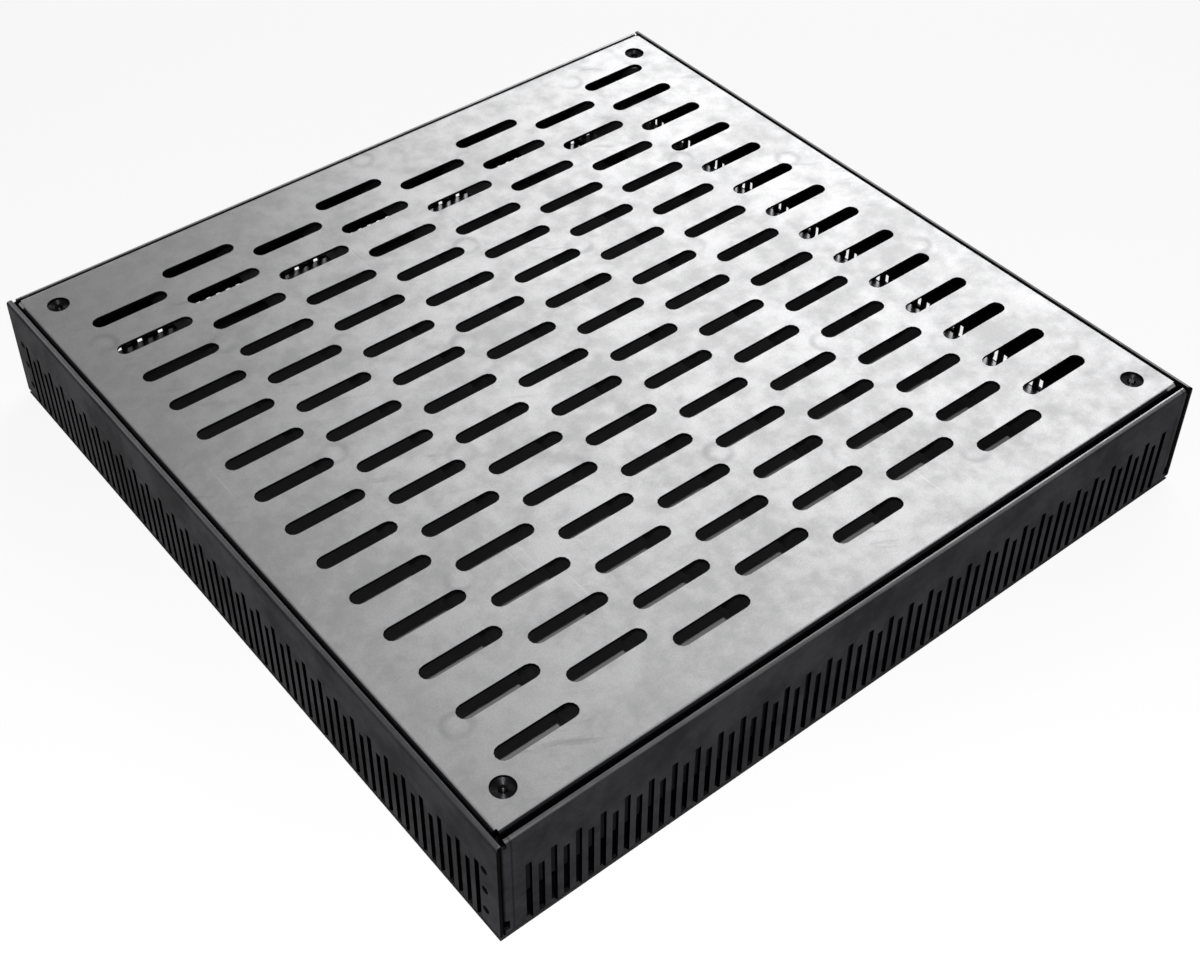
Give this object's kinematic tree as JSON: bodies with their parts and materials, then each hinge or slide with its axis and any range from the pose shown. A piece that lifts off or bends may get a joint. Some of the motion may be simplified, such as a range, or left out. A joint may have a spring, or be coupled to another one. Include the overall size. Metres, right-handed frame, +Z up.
{
  "type": "terrace drain grate",
  "caption": "Square height-adjustable terrace drain grate: a slotted cover pan that stands on levelling screws in a slotted frame.",
  "frame": {"origin": "middle of the frame's base, on the floor", "axes": "+Z up out of the cover; the front wall faces -Y and the left wall faces -X"},
  "size_m": [0.404, 0.402, 0.06],
  "materials": {
    "frame_sheet": "mill finish steel sheet",
    "cover_sheet": "mill finish steel sheet, clouded",
    "rib_bar": "rolled flat bar",
    "bracket": "plain steel",
    "screw": "turned steel"
  },
  "bodies": {
    "frame": {"wall_left": "frame_sheet", "wall_right": "frame_sheet", "wall_front": "frame_sheet", "wall_back": "frame_sheet", "corner_plate_front_left": "bracket", "corner_plate_front_right": "bracket", "corner_plate_back_right": "bracket", "corner_plate_back_left": "bracket", "post_front_left": "bracket", "post_front_right": "bracket", "post_back_right": "bracket", "post_back_left": "bracket"},
    "cover": {"cover": "cover_sheet", "rib_1": "rib_bar", "rib_2": "rib_bar", "rib_3": "rib_bar", "rib_4": "rib_bar", "rib_5": "rib_bar", "rib_6": "rib_bar", "rib_7": "rib_bar"},
    "screw_front_left": {"levelling_screw_front_left": "screw"},
    "screw_front_right": {"levelling_screw_front_right": "screw"},
    "screw_back_right": {"levelling_screw_back_right": "screw"},
    "screw_back_left": {"levelling_screw_back_left": "screw"}
  },
  "joints": [
    {"name": "cover_lift", "type": "slide", "parent": "frame", "child": "cover", "axis": [0, 0, 1], "range_m": [0, 0.025]},
    {"name": "screw_turn_front_left", "type": "hinge", "parent": "cover", "child": "screw_front_left", "pos_m": [-0.18305, -0.18, 0.03], "axis": [0, 0, 1], "range_deg": [0, 7200]},
    {"name": "screw_turn_front_right", "type": "hinge", "parent": "cover", "child": "screw_front_right", "pos_m": [0.18345, -0.18, 0.03], "axis": [0, 0, 1], "range_deg": [0, 7200]},
    {"name": "screw_turn_back_right", "type": "hinge", "parent": "cover", "child": "screw_back_right", "pos_m": [0.18345, 0.1825, 0.03], "axis": [0, 0, 1], "range_deg": [0, 7200]},
    {"name": "screw_turn_back_left", "type": "hinge", "parent": "cover", "child": "screw_back_left", "pos_m": [-0.18305, 0.1825, 0.03], "axis": [0, 0, 1], "range_deg": [0, 7200]}
  ],
  "couplings": [
    {"joint": "screw_turn_front_left", "follows": "cover_lift", "rad_per_m": 5026.5},
    {"joint": "screw_turn_front_right", "follows": "cover_lift", "rad_per_m": 5026.5},
    {"joint": "screw_turn_back_right", "follows": "cover_lift", "rad_per_m": 5026.5},
    {"joint": "screw_turn_back_left", "follows": "cover_lift", "rad_per_m": 5026.5}
  ]
}
